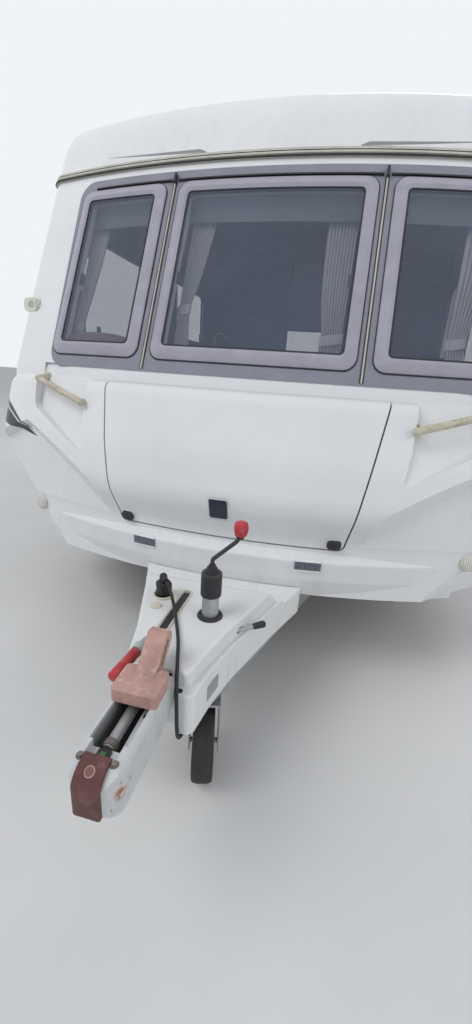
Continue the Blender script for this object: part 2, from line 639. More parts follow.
def make_camera():
    ahead = Vector((
        -sin(CAMERA_YAW) * cos(CAMERA_PITCH), cos(CAMERA_YAW) * cos(CAMERA_PITCH), -sin(CAMERA_PITCH),
    ))
    level = Vector((cos(CAMERA_YAW), sin(CAMERA_YAW), 0))
    rise = level.cross(ahead)
    right = level * cos(CAMERA_ROLL) + rise * sin(CAMERA_ROLL)
    up = rise * cos(CAMERA_ROLL) - level * sin(CAMERA_ROLL)
    data = bpy.data.cameras.new("photo_camera")
    data.sensor_width = SENSOR
    data.lens = FOCAL_PIXELS / LONG_SIDE * SENSOR
    data.clip_start, data.clip_end = 0.05, 200
    camera = bpy.data.objects.new("photo_camera", data)
    camera.matrix_world = Matrix((
        (right.x, up.x, -ahead.x, CAMERA_PLACE.x), (right.y, up.y, -ahead.y, CAMERA_PLACE.y),
        (right.z, up.z, -ahead.z, CAMERA_PLACE.z), (0, 0, 0, 1),
    ))
    bpy.context.scene.collection.objects.link(camera)
    bpy.context.scene.camera = camera


def make_stage():
    floor = mesh_piece(
        "floor_stage", [(-40, -40, -0.001), (40, -40, -0.001), (40, 40, -0.001), (-40, 40, -0.001)], [(0, 1, 2, 3)],
        False,
    )
    g = Graph("stage_floor")
    tone = g.mix(g.step(g.noise(1.2, 5), 0.3, 0.7), (0.66, 0.66, 0.655), (0.70, 0.70, 0.695))
    floor.data.materials.append(g.finish(tone, 0.85, g.bump(g.noise(160, 3), 0.1, 0.001)))
    floor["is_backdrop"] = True


def make_light():
    world = bpy.data.worlds.new("studio")
    bpy.context.scene.world = world
    world.use_nodes = True
    tree = world.node_tree
    soft = tree.nodes["Background"]
    soft.inputs["Color"].default_value = (0.90, 0.94, 1.0, 1)
    soft.inputs["Strength"].default_value = 0.55
    seen = tree.nodes.new("ShaderNodeBackground")
    seen.inputs["Color"].default_value = (0.88, 0.90, 0.92, 1)
    seen.inputs["Strength"].default_value = 1.0
    rays = tree.nodes.new("ShaderNodeLightPath")
    first = tree.nodes.new("ShaderNodeMath")
    first.operation = "MAXIMUM"
    second = tree.nodes.new("ShaderNodeMath")
    second.operation = "MAXIMUM"
    mix = tree.nodes.new("ShaderNodeMixShader")
    tree.links.new(rays.outputs["Is Camera Ray"], first.inputs[0])
    tree.links.new(rays.outputs["Is Glossy Ray"], first.inputs[1])
    tree.links.new(first.outputs[0], second.inputs[0])
    tree.links.new(rays.outputs["Is Transmission Ray"], second.inputs[1])
    tree.links.new(second.outputs[0], mix.inputs[0])
    tree.links.new(soft.outputs[0], mix.inputs[1])
    tree.links.new(seen.outputs[0], mix.inputs[2])
    tree.links.new(mix.outputs[0], tree.nodes["World Output"].inputs["Surface"])
    for name, place, aim, size, power in (
        ("key", (-4.5, -6.5, 7.5), (0, -1.0, 0.8), 5.0, 370),
        ("fill", (6.5, -4.0, 4.0), (0, -0.5, 1.0), 5.0, 130),
        ("back", (2.0, 8.0, 6.0), (0, 0, 1.0), 5.0, 220),
    ):
        lamp = bpy.data.lights.new(name, "AREA")
        lamp.size = size
        lamp.energy = power
        holder = bpy.data.objects.new(name, lamp)
        holder.location = place
        holder.rotation_mode = "QUATERNION"
        holder.rotation_quaternion = (Vector(aim) - Vector(place)).to_track_quat("-Z", "Y")
        bpy.context.scene.collection.objects.link(holder)
        holder.visible_glossy = name == "back"
    bpy.context.scene.view_settings.view_transform = "Standard"


make_camera()
make_stage()
make_light()


# The tow lead, from the plug on its holder to the gland under the rail

CABLE_RADIUS = 0.00475
CABLE_ROUTE = [
    (-94, -403, 562), (-70, -425, 548), (-38, -470, 514), (-4, -540, 510), (21, -596, 509), (40, -650, 508),
    (58, -702, 504),
    (67, -728, 466), (69, -729, 422), (70, -730, 374), (70, -722, 332), (70, -694, 312), (70, -660, 312),
]
cable_points = [(x / 1000, along(back / 1000), z / 1000) for x, back, z in CABLE_ROUTE]
tow_lead = tube("tow_lead", cable_points, CABLE_RADIUS, resolution=16)
dress(tow_lead, "body", "cable_rubber")
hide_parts("tow_cable")


# Places on the front of the body

RAKE_KNEE, RAKE_BREAK, RAKE_TOP = (0.070, 1.122), (0.450, 1.930), (0.590, 2.215)
RAKE_SLOPE = (RAKE_BREAK[0] - RAKE_KNEE[0]) / (RAKE_BREAK[1] - RAKE_KNEE[1])
trees = {}


def rake_back(height):
    """Set back of the raked front on the centre line."""
    low, high = (RAKE_KNEE, RAKE_BREAK) if height < RAKE_BREAK[1] else (RAKE_BREAK, RAKE_TOP)
    return low[0] + (high[0] - low[0]) * (height - low[1]) / (high[1] - low[1])


def rake(across, height, proud=0.0):
    """Point on the raked front, or proud of it."""
    back = rake_back(height)
    reach = proud / hypot(1, RAKE_SLOPE)
    return Vector((across, along(back + bow(across, FRONT_BOW - back)) - reach, height + reach * RAKE_SLOPE))


def seat(names, start, way, proud=0.0):
    """Where a ray first meets the named nodes, moved out along the normal there, and that normal."""
    if names not in trees:
        vertices, faces = [], []
        for name in names:
            first = len(vertices)
            mesh = nodes[name].data
            vertices += [tuple(vertex.co) for vertex in mesh.vertices]
            faces += [[first + corner for corner in polygon.vertices] for polygon in mesh.polygons]
        trees[names] = BVHTree.FromPolygons(vertices, faces)
    way = Vector(way).normalized()
    place, normal, _, _ = trees[names].ray_cast(Vector(start), way)
    if place is None:
        raise ValueError("nothing of %s ahead of %s" % (names, tuple(start)))
    normal = -normal if normal.dot(way) > 0 else normal
    return place + normal * proud, normal


def turned_to(normal):
    """Right and up of a plate that lies on a surface with this normal."""
    level = Vector(UP).cross(normal) if abs(normal.z) < 0.9 else Vector(NEARSIDE)
    right = (level - normal * normal.dot(level)).normalized()
    return right, normal.cross(right)


def mounted(name, outline, names, start, way, thickness, bevel=0.0, sunk=0.0015):
    """Plate seated on a CAD surface."""
    origin, normal = seat(names, start, way, -sunk)
    right, up = turned_to(normal)
    return plate(name, outline, origin, right, up, thickness + sunk, bevel)


def turned(name, profile, names, start, way, axis=None, segments=40):
    """Turned piece seated on a CAD surface, its profile measured out from it."""
    origin, normal = seat(names, start, way)
    return lathe(name, profile, origin, axis or normal, segments)


def bead(name, rows, width, low, high, cyclic=False, bevel=0.0006):
    """Flat bead along points that each carry a normal, between two depths."""
    form = bmesh.new()
    rings = []
    count = len(rows)
    for index, (point, normal) in enumerate(rows):
        before = rows[index - 1 if cyclic or index else 0][0]
        after = rows[(index + 1) % count if cyclic or index < count - 1 else index][0]
        side = (after - before).cross(normal).normalized() * width / 2
        rings.append([
            form.verts.new(point + side * sign + normal * deep) for sign, deep in (
                (1, low), (1, high), (-1, high), (-1, low),
            )
        ])
    pairs = list(zip(rings, rings[1:])) + ([(rings[-1], rings[0])] if cyclic else [])
    for first, second in pairs:
        for k in range(4):
            n = (k + 1) % 4
            form.faces.new((first[k], first[n], second[n], second[k]))
    if not cyclic:
        form.faces.new(rings[0])
        form.faces.new(rings[-1])
    piece = from_bmesh(name, form)
    if bevel:
        soft_edge = piece.modifiers.new("edge", "BEVEL")
        soft_edge.width = bevel
        soft_edge.segments = 2
        soft_edge.angle_limit = radians(50)
    return sharpen(piece, 40)


def rake_rows(outline, proud=0.0):
    """Points and normals on the raked front under an outline of across and height."""
    rows = []
    for across, height in outline:
        back = rake_back(height)
        lean = across / sqrt((FRONT_BOW - back) ** 2 - across**2)
        rows.append((rake(across, height, proud), Vector((lean, -1, RAKE_SLOPE)).normalized()))
    return rows


def rounded_path(width, height, radius, middle=(0, 0), straight=20, steps=7):
    """Closed outline of a rounded rectangle with its straight sides divided."""
    corners = rounded_outline(width, height, radius, steps)
    points = []
    for index, (u, v) in enumerate(corners):
        points.append((u, v))
        if index % (steps + 1) == steps:
            nu, nv = corners[(index + 1) % len(corners)]
            for k in range(1, straight):
                points.append((u + (nu - u) * k / straight, v + (nv - v) * k / straight))
    return [(u + middle[0], v + middle[1]) for u, v in points]


def strip(name, surface, path, width, low, high, bevel=0.0008):
    """Flat strip laid along a path of across and height on a surface, between two depths."""
    form = bmesh.new()
    rings = []
    for index, (a, b) in enumerate(path):
        before, after = path[max(index - 1, 0)], path[min(index + 1, len(path) - 1)]
        run = Vector((after[0] - before[0], after[1] - before[1])).normalized()
        side = Vector((-run.y, run.x)) * width / 2
        ring = []
        for sign, proud in ((1, low), (1, high), (-1, high), (-1, low)):
            ring.append(form.verts.new(surface(a + sign * side.x, b + sign * side.y, proud)))
        rings.append(ring)
    for first, second in zip(rings, rings[1:]):
        for k in range(4):
            n = (k + 1) % 4
            form.faces.new((first[k], first[n], second[n], second[k]))
    form.faces.new(rings[0])
    form.faces.new(rings[-1])
    piece = from_bmesh(name, form)
    if bevel:
        rounded_edge = piece.modifiers.new("edge", "BEVEL")
        rounded_edge.width = bevel
        rounded_edge.segments = 2
        rounded_edge.angle_limit = radians(50)
    return sharpen(piece, 40)


def line(start, end, count):
    """Evenly spaced pairs from one to another."""
    return [
        (start[0] + (end[0] - start[0]) * k / count, start[1] + (end[1] - start[1]) * k / count)
        for k in range(count + 1)
    ]


# Rubber over the front windows, strips in the pillars and the clips at their heads

PILLARS = (-0.4115, 0.4115)
for start, end in ((-0.800, -0.425), (-0.398, 0.398), (0.425, 0.800)):
    rubber = strip(
        "window_rubber_%d" % round(1000 * (start + end)), rake, line((start, 1.884), (end, 1.884), 30), 0.006, 0.002,
        0.011,
    )
    dress(rubber, "body", "black_plastic")
for number, across in enumerate(PILLARS):
    lath = strip("pillar_strip_%d" % number, rake, line((across, 1.158), (across, 1.876), 24), 0.006, 0.002, 0.0075)
    dress(lath, "body", "grey_trim")
    for sign in (-1, 1):
        gasket = strip(
            "pillar_gasket_%d_%d" % (number, sign + 1), rake,
            line((across + sign * 0.0058, 1.160), (across + sign * 0.0058, 1.876), 24), 0.003, 0.002, 0.0055,
        )
        dress(gasket, "body", "black_plastic")
    clip = strip("pillar_clip_%d" % number, rake, line((across, 1.872), (across, 1.908), 2), 0.011, 0.002, 0.017)
    dress(clip, "body", "black_plastic")

# Stays and catches inside the opening windows
FRONT_WINDOWS = [(0, 0.340), (0.652, 0.163), (-0.652, 0.163)]
for number, (centre, half) in enumerate(FRONT_WINDOWS):
    for sign in (-1, 1):
        across = centre + sign * (half + 0.004)
        stay = tube("window_stay_%d_%d" % (number, sign + 1), [
            rake(across, 1.63, -0.045), rake(across, 1.68, -0.047), rake(across, 1.75, -0.050),
            rake(across, 1.80, -0.050),
        ], 0.0045)
        dress(stay, "body", "galvanised")
        catch = plate(
            "window_catch_%d_%d" % (number, sign + 1), rounded_outline(0.018, 0.052, 0.008), rake(
                across - sign * 0.012, 1.52, -0.030,
            ),
            NEARSIDE, (0, 0.425, 0.905), 0.010, 0.003,
        )
        dress(catch, "body", "black_plastic")


# Curtains: gathered sheets whose folds take up their full width, and the bands that hold them

CURTAIN_DEPTH = -0.073
ROWS, COLUMNS_PER_FOLD = 46, 12


def fold_depth(flat, width, folds):
    """Half the depth of each fold that gives a row of the sheet its flat width."""
    low, high = 0.0, 0.05
    for _ in range(40):
        middle = (low + high) / 2
        steps = np.linspace(0, 2 * pi, 81)
        rise = middle * np.sin(steps) * folds
        run = steps / (2 * pi) * width
        length = np.hypot(np.diff(run), np.diff(rise)).sum()
        low, high = (middle, high) if length < flat else (low, middle)
    return low


def curtain(name, folds, flat, edges, tie_height, seed):
    """One curtain behind the front windows. Edges are height, left and right, from the top down."""
    heights = [row[0] for row in edges][::-1]
    lefts = [row[1] for row in edges][::-1]
    rights = [row[2] for row in edges][::-1]
    top, bottom = edges[0][0], edges[-1][0]
    columns = folds * COLUMNS_PER_FOLD
    random = np.random.default_rng(seed)
    shift = random.uniform(-0.25, 0.25, folds + 1)
    vertices = []
    for row in range(ROWS + 1):
        height = top + (bottom - top) * row / ROWS
        left, right = float(np.interp(height, heights, lefts)), float(np.interp(height, heights, rights))
        half = fold_depth(flat, right - left, folds)
        for column in range(columns + 1):
            share = column / columns
            fold = share * folds
            wobble = float(np.interp(fold, range(folds + 1), shift)) * (0.6 + 0.4 * sin(5 * height + seed))
            swing = sin(2 * pi * fold + wobble)
            place = rake(left + (right - left) * share, height, CURTAIN_DEPTH)
            place.y += half * swing
            vertices.append(place)
    faces = []
    for row in range(ROWS):
        for column in range(columns):
            first = row * (columns + 1) + column
            faces.append((first, first + 1, first + columns + 2, first + columns + 1))
    piece = mesh_piece(name, vertices, faces)
    dress(piece, "body", "curtain_cloth")
    return piece


CURTAINS = [
    (
        "curtain_far_left", 7, 0.33,
        [(1.848, -0.842, -0.742), (1.60, -0.838, -0.750), (1.345, -0.832, -0.786), (1.240, -0.838, -0.772)], 1.345, 1,
    ),
    ("curtain_centre_left", 8, 0.36, [
        (1.848, -0.336, -0.222), (1.70, -0.334, -0.238), (1.55, -0.332, -0.258), (1.425, -0.330, -0.284),
        (1.33, -0.328, -0.268), (1.240, -0.328, -0.256),
    ], 1.425, 2),
    ("curtain_centre_right", 9, 0.38, [
        (1.848, 0.218, 0.334), (1.60, 0.224, 0.330), (1.47, 0.232, 0.328), (1.335, 0.252, 0.324),
        (1.240, 0.240, 0.330),
    ], 1.335, 3),
    (
        "curtain_far_right", 7, 0.33,
        [(1.848, 0.742, 0.842), (1.60, 0.722, 0.838), (1.345, 0.700, 0.760), (1.240, 0.700, 0.772)], 1.345, 4,
    ),
]
for name, folds, flat, edges, tie_height, seed in CURTAINS:
    piece = curtain(name, folds, flat, edges, tie_height, seed)
    length = (edges[0][0] - edges[-1][0]) * hypot(1, 0.4703)
    heights = [row[0] for row in edges][::-1]
    left = float(np.interp(tie_height, heights, [row[1] for row in edges][::-1]))
    right = float(np.interp(tie_height, heights, [row[2] for row in edges][::-1]))
    middle = rake((left + right) / 2, tie_height, CURTAIN_DEPTH)
    around = []
    for k in range(40):
        turn = 2 * pi * k / 40
        wide, deep = (right - left) / 2 + 0.006, 0.013
        point = Vector((middle.x + wide * cos(turn), middle.y + deep * sin(turn), middle.z + 0.006 * cos(turn)))
        around.append(point)
    form = bmesh.new()
    rings = []
    for height, grow in ((-0.019, 1.0), (-0.016, 1.05), (0.0, 1.0), (0.016, 1.05), (0.019, 1.0)):
        rings.append([
            form.verts.new(middle + (point - middle) * grow + Vector((0, height * 0.47, height))) for point in around
        ])
    for first, second in zip(rings, rings[1:]):
        for k in range(40):
            form.faces.new((first[k], first[(k + 1) % 40], second[(k + 1) % 40], second[k]))
    tie = from_bmesh(name.replace("curtain", "tie_band"), form)
    thick = tie.modifiers.new("thickness", "SOLIDIFY")
    thick.thickness = 0.002
    dress(tie, "body", "curtain_cloth", "tie_cloth")
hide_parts("curtains")

# Pleated blinds drawn up under the cassette
PLEATS, PLEAT_DEPTH, BLIND_LOW, BLIND_HIGH = 9, 0.009, 1.752, 1.852
for number, (centre, half) in enumerate(FRONT_WINDOWS):
    width = 2 * half + 0.010
    vertices, faces = [], []
    across_steps, rows = 24, 2 * PLEATS
    for row in range(rows + 1):
        height = BLIND_HIGH + (BLIND_LOW - BLIND_HIGH) * row / rows
        for step in range(across_steps + 1):
            across = centre - width / 2 + width * step / across_steps
            vertices.append(rake(across, height, -0.047 - PLEAT_DEPTH * (row % 2)))
    for row in range(rows):
        for step in range(across_steps):
            first = row * (across_steps + 1) + step
            faces.append((first, first + 1, first + across_steps + 2, first + across_steps + 1))
    blind = mesh_piece("pleated_blind_%d" % number, vertices, faces, False)
    dress(blind, "body", "curtain_cloth", "blind_cloth")


# Cushions: crowned, with sides that pull in between the corners, piping and buttons

def cushion(name, low, high, crown, up, buttons=()):
    """Padded block between two corners, crowned along one axis."""
    low, high = Vector(low), Vector(high)
    size = high - low
    steps = [max(8, round(size[axis] / 0.035)) for axis in range(3)]
    form = bmesh.new()
    bmesh.ops.create_cube(form, size=1.0)
    cuts = max(steps)
    bmesh.ops.subdivide_edges(form, edges=form.edges, cuts=cuts, use_grid_fill=True)
    a, b = [axis for axis in range(3) if axis != up]
    edge = 0.020
    for vertex in form.verts:
        place = Vector(vertex.co) * 2
        inside = [size[axis] / 2 for axis in range(3)]
        point = Vector([place[axis] * inside[axis] for axis in range(3)])
        core = Vector([max(-inside[axis] + edge, min(inside[axis] - edge, point[axis])) for axis in range(3)])
        away = point - core
        if away.length > 1e-9:
            point = core + away.normalized() * edge
        across, along_side = point[a] / inside[a], point[b] / inside[b]
        dome = (1 - across**2) * (1 - along_side**2)
        flat = point[up] / inside[up]
        point[up] += flat * crown * (dome - 0.75)
        pinch = 0.010 * (1 - flat**2)
        point[a] *= 1 - pinch * (1 - along_side**2) / inside[a]
        point[b] *= 1 - pinch * (1 - across**2) / inside[b]
        for u, v in buttons:
            near = hypot((across - u) * inside[a], (along_side - v) * inside[b])
            point[up] -= (0.022 * 2.718 ** (-(near / 0.035) ** 2)) * max(flat, 0)
        vertex.co = point + (low + high) / 2
    return from_bmesh(name, form)


def piping(name, low, high, up, at_high, body):
    """Round bead sewn round one face's edge."""
    a, b = [axis for axis in range(3) if axis != up]
    size = Vector(high) - Vector(low)
    middle = (Vector(low) + Vector(high)) / 2
    points = []
    for u, v in rounded_outline(size[a] - 0.020, size[b] - 0.020, 0.030, 3):
        point = Vector(middle)
        point[a] += u
        point[b] += v
        point[up] = (high[up] - 0.009) if at_high else (low[up] + 0.009)
        points.append(point)
    bead = tube(name, points, 0.004, order=3, resolution=4, bevel_resolution=2, cyclic=True)
    return dress(bead, body, "upholstery", "piping_cloth")


# Front window frames: bevelled bands with rounder outside corners, and the rubber between them and the glass

GLASS_LOW, GLASS_HIGH = 1.243, 1.829
GLASS_MIDDLE = (GLASS_LOW + GLASS_HIGH) / 2
FRAME_SECTION = [
    (0.046, 0.001), (0.046, 0.009), (0.042, 0.0125), (0.017, 0.020), (0.012, 0.0205), (0.004, 0.0165),
    (0.000, 0.0150), (0.000, 0.001),
]


def frame_loop(name, centre, half):
    """One bevelled band round a front window, from its section of reach outwards and height above the front."""
    form = bmesh.new()
    rings = []
    for reach, proud in FRAME_SECTION:
        width, height = 2 * (half + reach), GLASS_HIGH - GLASS_LOW + 2 * reach
        path = rounded_path(width, height, 0.017 + 0.028 * reach / 0.046, (centre, GLASS_MIDDLE))
        rings.append([form.verts.new(rake(u, v, proud)) for u, v in path])
    count = len(rings[0])
    for first, second in zip(rings, rings[1:] + rings[:1]):
        for k in range(count):
            n = (k + 1) % count
            form.faces.new((first[k], first[n], second[n], second[k]))
    return sharpen(from_bmesh(name, form), 24)


for number, (centre, half) in enumerate(FRONT_WINDOWS):
    frame_piece = frame_loop("window_frame_%d" % number, centre, half)
    dress(frame_piece, "body", "mauve_grey", "frame_grey")
    path = rounded_path(2 * half - 0.005, GLASS_HIGH - GLASS_LOW - 0.005, 0.015, (centre, GLASS_MIDDLE))
    rubber = bead("glass_rubber_%d" % number, rake_rows(path), 0.005, 0.0135, 0.0168, cyclic=True)
    dress(rubber, "body", "black_plastic")
    path = rounded_path(2 * half + 0.096, GLASS_HIGH - GLASS_LOW + 0.096, 0.046, (centre, GLASS_MIDDLE))
    shadow = bead("frame_gasket_%d" % number, rake_rows(path), 0.004, 0.001, 0.006, cyclic=True)
    dress(shadow, "body", "black_plastic")
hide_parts("front_window_frames")


# Lines of the trim rail over the seam

RAIL_LINES = [
    ("rail_dark_line", 1.9785, 0.0030, 0.0015, "black_plastic"),
    ("rail_cream_band", 1.9700, 0.0095, 0.0030, "grey_trim"),
    ("rail_rubber", 1.9575, 0.0060, 0.0045, "black_plastic"),
]
for name, height, width, proud, finish in RAIL_LINES:
    rows = []
    middle = Vector((0, along(1.0), height))
    for k in range(241):
        turn = radians(-74.5 + 149.0 * k / 240)
        way = Vector((sin(turn), -cos(turn), 0))
        rows.append(seat(("trim_rails",), middle + way * 2.4, -way))
    dress(bead(name, rows, width, -0.001, proud), "body", finish)


# Gas locker lid: latches, blank badge plate

LATCH = (0.396, 0.615)
for side in (1, -1):
    start = (side * LATCH[0], AHEAD, LATCH[1])
    cover = mounted(
        "latch_cover_%d" % (side + 1), rounded_outline(0.050, 0.038, 0.014), ("gas_locker_lid",), start, REARWARD,
        0.012, 0.006,
    )
    dress(cover, "locker_lid", "black_plastic")
    barrel = turned(
        "latch_barrel_%d" % (side + 1), [
            (0.010, 0.0001), (0.010, 0.0085), (0.0135, 0.0085), (0.0145, 0.0075), (0.0145, 0.0),
        ],
        ("gas_locker_lid",), start, REARWARD,
    )
    dress(barrel, "locker_lid", "black_plastic")
badge_start = (-0.015, AHEAD, 0.712)
rim = mounted(
    "badge_rim", rounded_outline(0.072, 0.092, 0.010), ("gas_locker_lid",), badge_start, REARWARD, 0.0025, 0.001,
)
dress(rim, "locker_lid", "grey_trim", "pale_rim")
field = mounted(
    "badge_field", rounded_outline(0.066, 0.080, 0.008), ("gas_locker_lid",), (-0.015, AHEAD, 0.715), REARWARD,
    0.0042, 0.0015,
)
dress(field, "locker_lid", "black_plastic", "navy_plate")


# Flanges where the grab handles enter their scoops

for side in (1, -1):
    for label, across, height in (("inner", 0.602, 1.027), ("outer", 0.868, 1.100)):
        flange = turned(
            "handle_flange_%s_%d" % (label, side + 1),
            [(-0.012, 0.012), (-0.004, 0.0205), (0.003, 0.0205), (0.006, 0.018), (0.008, 0.0135), (0.008, 0.0111)],
            ("front_panel",), (side * across, AHEAD, height), REARWARD, FORWARD,
        )
        dress(flange, "body", "cream_handle")


# Domed lenses of the low front lamps

for side in (1, -1):
    low_lens = [
        (-0.006, 0.0), (-0.006, 0.0350), (0.004, 0.0350), (0.006, 0.0330), (0.010, 0.0320), (0.014, 0.0290),
        (0.018, 0.0220), (0.020, 0.0120), (0.0205, 0.0),
    ]
    start = (side * 0.885, AHEAD, 0.565)
    dress(turned("low_lamp_lens_%d" % (side + 1), low_lens, ("front_panel",), start, REARWARD), "body", "lamp_lens")


# Hitch: ribbed brake grip with its mint collar, and the lobed knob on the crank

JOCKEY = Vector((0.062, along(-0.450), 0))
grip_start, grip_end = Vector((-0.057, along(-0.648), 0.515)), Vector((-0.070, along(-0.765), 0.512))
grip_axis = (grip_end - grip_start).normalized()
profile = [(0.024, 0.0101), (0.024, 0.0125), (0.027, 0.0138)]
for k in range(9):
    profile += [
        (0.030 + 0.0092 * k, 0.0138), (0.0325 + 0.0092 * k, 0.0124), (0.0352 + 0.0092 * k, 0.0124),
        (0.0377 + 0.0092 * k, 0.0138),
    ]
profile += [(0.113, 0.0142), (0.1165, 0.0128), (0.118, 0.0095), (0.1185, 0.0)]
brake_grip = dress(lathe("brake_grip", profile, grip_start, grip_axis, 40, 50), "body", "red_plastic")
collar = [(0.0, 0.0101), (0.0, 0.0140), (0.002, 0.0152), (0.020, 0.0152), (0.022, 0.0140), (0.022, 0.0101)]
dress(lathe("grip_collar", collar, grip_start, grip_axis, 40), "body", "red_plastic", "mint_plastic")

KNOB_BOTTOM, KNOB_TOP = Vector((0.133, JOCKEY.y + 0.008, 0.758)), Vector((0.135, JOCKEY.y + 0.009, 0.801))
KNOB_LOBES, KNOB_STEPS = 6, 72
knob_axis = (KNOB_TOP - KNOB_BOTTOM).normalized()
knob_side = knob_axis.orthogonal().normalized()
knob_other = knob_axis.cross(knob_side)
form = bmesh.new()
rings = []
KNOB_PROFILE = [
    (0.0, 0.55), (0.0015, 0.68), (0.004, 0.78), (0.010, 0.90), (0.018, 0.98), (0.026, 1.0), (0.033, 0.97),
    (0.038, 0.88), (0.0415, 0.70),
    (0.043, 0.40), (0.0432, 0.05),
]
for reach, share in KNOB_PROFILE:
    ring = []
    for k in range(KNOB_STEPS):
        turn = 2 * pi * k / KNOB_STEPS
        radius = share * (0.0188 + 0.0026 * cos(KNOB_LOBES * turn) * min(share, 1) ** 2)
        point = KNOB_BOTTOM + knob_axis * reach + (knob_side * cos(turn) + knob_other * sin(turn)) * radius
        ring.append(form.verts.new(point))
    rings.append(ring)
for first, second in zip(rings, rings[1:]):
    for k in range(KNOB_STEPS):
        form.faces.new((first[k], first[(k + 1) % KNOB_STEPS], second[(k + 1) % KNOB_STEPS], second[k]))
form.faces.new(rings[0])
form.faces.new(rings[-1])
dress(from_bmesh("crank_knob", form), "body", "red_plastic")
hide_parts("red_grips")
knob_collar = [(-0.006, 0.0062), (-0.006, 0.0095), (-0.004, 0.0110), (0.0, 0.0112), (0.002, 0.0095), (0.002, 0.005)]
dress(lathe("knob_collar", knob_collar, KNOB_BOTTOM, knob_axis, 32), "body", "black_plastic")

# Stepped cone and ribbed collar on the jockey tube, and its sleeve through the hood
profile = [(0.5725, 0.0243), (0.5725, 0.0288)]
for k in range(7):
    profile += [
        (0.576 + 0.0085 * k, 0.0298), (0.580 + 0.0085 * k, 0.0298), (0.581 + 0.0085 * k, 0.0292),
        (0.5835 + 0.0085 * k, 0.0292),
    ]
profile += [
    (0.637, 0.0297), (0.6425, 0.0275), (0.6435, 0.0205), (0.650, 0.0190), (0.651, 0.0158), (0.658, 0.0146),
    (0.659, 0.0112), (0.667, 0.0096), (0.668, 0.0061),
]
dress(lathe("jockey_collar_cover", profile, JOCKEY, UP, 56, 25), "body", "black_plastic")
sleeve = [
    (0.490, 0.0246), (0.5045, 0.0246), (0.5095, 0.0262), (0.5110, 0.0300), (0.5095, 0.0345), (0.5050, 0.0372),
    (0.5020, 0.0372), (0.490, 0.0330),
]
dress(lathe("jockey_sleeve", sleeve, JOCKEY, UP, 56, 50), "body", "black_plastic")


# Fairing: rim and rubber in the lever's slot, round cap, ring under the plug, blank plate, clamp knob

SLOT_MIDDLE = (-0.042, -0.450)
rows = []
for u, v in rounded_path(0.030, 0.216, 0.0149, straight=24):
    rows.append(seat(("fairing",), (SLOT_MIDDLE[0] + u * 1.02, along(SLOT_MIDDLE[1] + v * 1.005), ABOVE), DOWN))
dress(
    bead("slot_rim", rows, 0.0055, -0.004, 0.0028, cyclic=True, bevel=0.0010), "body", "cream_handle",
    "cream_plastic",
)
strip_rows = []
for k in range(25):
    reach = -0.100 + 0.200 * k / 24
    for_side, normal = seat(("fairing",), (SLOT_MIDDLE[0] + 0.020, along(SLOT_MIDDLE[1] + reach), ABOVE), DOWN)
    strip_rows.append((Vector((SLOT_MIDDLE[0], for_side.y, for_side.z)), normal))
dress(bead("slot_rubber", strip_rows, 0.0236, -0.0060, -0.0035), "body", "black_plastic")
cap = [(-0.004, 0.0), (-0.004, 0.0165), (0.003, 0.0165), (0.0055, 0.0145), (0.0062, 0.010), (0.0062, 0.0)]
dress(
    turned("fairing_cap", cap, ("fairing",), (-0.103, along(-0.454), ABOVE), DOWN), "body", "cream_handle",
    "cream_plastic",
)
base_ring = [
    (-0.004, 0.0252), (0.004, 0.0252), (0.0075, 0.0262), (0.0085, 0.0285), (0.0065, 0.0310), (-0.004, 0.0315),
]
dress(
    lathe("plug_ring", base_ring, (-0.106, along(-0.392), 0.503), UP), "body", "cream_handle", "cream_plastic",
)
PLUG = Vector((-0.106, along(-0.392), 0.503))
for name, low, high, radius in (("plug_band_low", 0.012, 0.020, 0.0222), ("plug_band_high", 0.040, 0.047, 0.0222)):
    band = [
        (low, 0.0205), (low, radius), (low + 0.001, radius + 0.0008), (high - 0.001, radius + 0.0008), (high, radius),
        (high, 0.0205),
    ]
    dress(lathe(name, band, PLUG, UP, 40), "body", "cable_rubber")
for k in range(3):
    turn = radians(40 + 120 * k)
    out = Vector((cos(turn), sin(turn), 0))
    lug = plate(
        "plug_lug_%d" % k, rounded_outline(0.010, 0.026, 0.003), PLUG + out * 0.0205 + Vector((0, 0, 0.028)),
        Vector(UP).cross(out), UP, 0.0055, 0.002,
    )
    dress(lug, "body", "cable_rubber")
blank = mounted(
    "fairing_blank_plate", rounded_outline(0.098, 0.046, 0.003), ("fairing",), (0.6, along(-0.597), 0.392),
    (-1, 0, 0), 0.0012, 0.0005,
)
dress(blank, "body", "galvanised", "label_grey")
CLAMP_ROOT, CLAMP_TIP = Vector((0.118, along(-0.466), 0.466)), Vector((0.212, along(-0.394), 0.470))
clamp_axis = (CLAMP_TIP - CLAMP_ROOT).normalized()
clamp_reach = (CLAMP_TIP - CLAMP_ROOT).length
profile = [
    (clamp_reach - 0.034, 0.0051), (clamp_reach - 0.034, 0.0078), (clamp_reach - 0.029, 0.0092),
    (clamp_reach - 0.004, 0.0108),
    (clamp_reach + 0.003, 0.0100), (clamp_reach + 0.006, 0.0062), (clamp_reach + 0.0065, 0.0),
]
dress(lathe("clamp_knob", profile, CLAMP_ROOT, clamp_axis, 32, 50), "body", "black_plastic")
hole = [(0.0008, 0.0), (0.0008, 0.0062), (0.0012, 0.0075), (-0.001, 0.0075)]
dress(turned("ledge_hole", hole, ("fairing",), (0.064, along(-0.698), ABOVE), DOWN), "body", "black_plastic")

# Bellows on the coupling's shaft
profile = [(-0.002, 0.0255), (-0.002, 0.0330)]
for k in range(9):
    profile += [(0.010 + 0.016 * k, 0.0405), (0.018 + 0.016 * k, 0.0300)]
profile += [(0.156, 0.0350), (0.160, 0.0255)]
dress(lathe("shaft_bellows", profile, (0, along(-0.682), 0.446), REARWARD, 48, 60), "body", "black_plastic")


# Coupling: bolts, blank disc, indicator window, dark ring and lock hole

